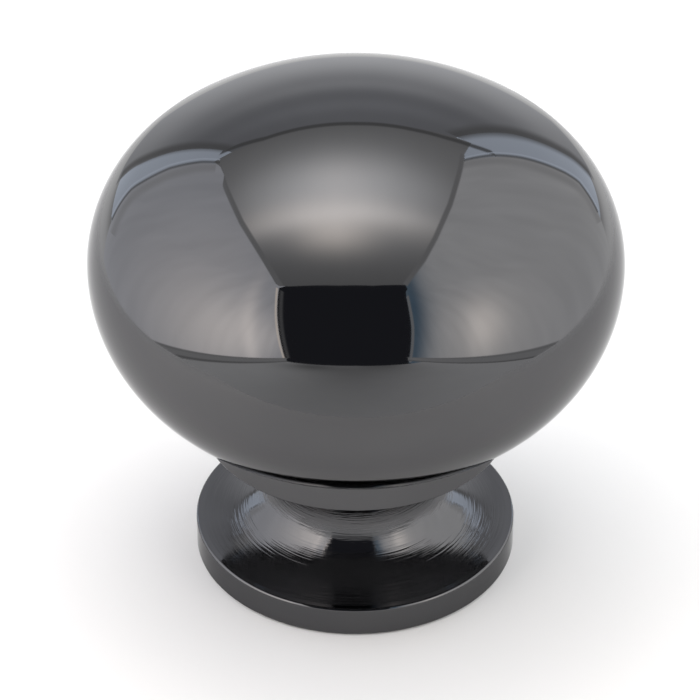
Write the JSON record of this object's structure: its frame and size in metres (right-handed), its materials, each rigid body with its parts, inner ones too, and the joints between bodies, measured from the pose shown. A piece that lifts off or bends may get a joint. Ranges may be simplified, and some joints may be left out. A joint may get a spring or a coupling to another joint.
{
  "type": "mushroom cabinet knob",
  "caption": "Round mushroom knob for a cabinet door or drawer: a hollow domed head on a waisted, flanged foot with a blind tapped hole.",
  "frame": {"origin": "middle of the flat mounting face under the foot", "axes": "+Z along the knob's own axis, from the mounting face out to the crown"},
  "size_m": [0.032, 0.032, 0.0315],
  "materials": {
    "plated_head": "brass, drawn and polished, plated with black nickel",
    "plated_foot": "brass, turned and polished with fine tool rings left in the waist, plated with black nickel"
  },
  "bodies": {
    "root": {"head_shell": "plated_head", "turned_foot": "plated_foot"}
  },
  "joints": []
}
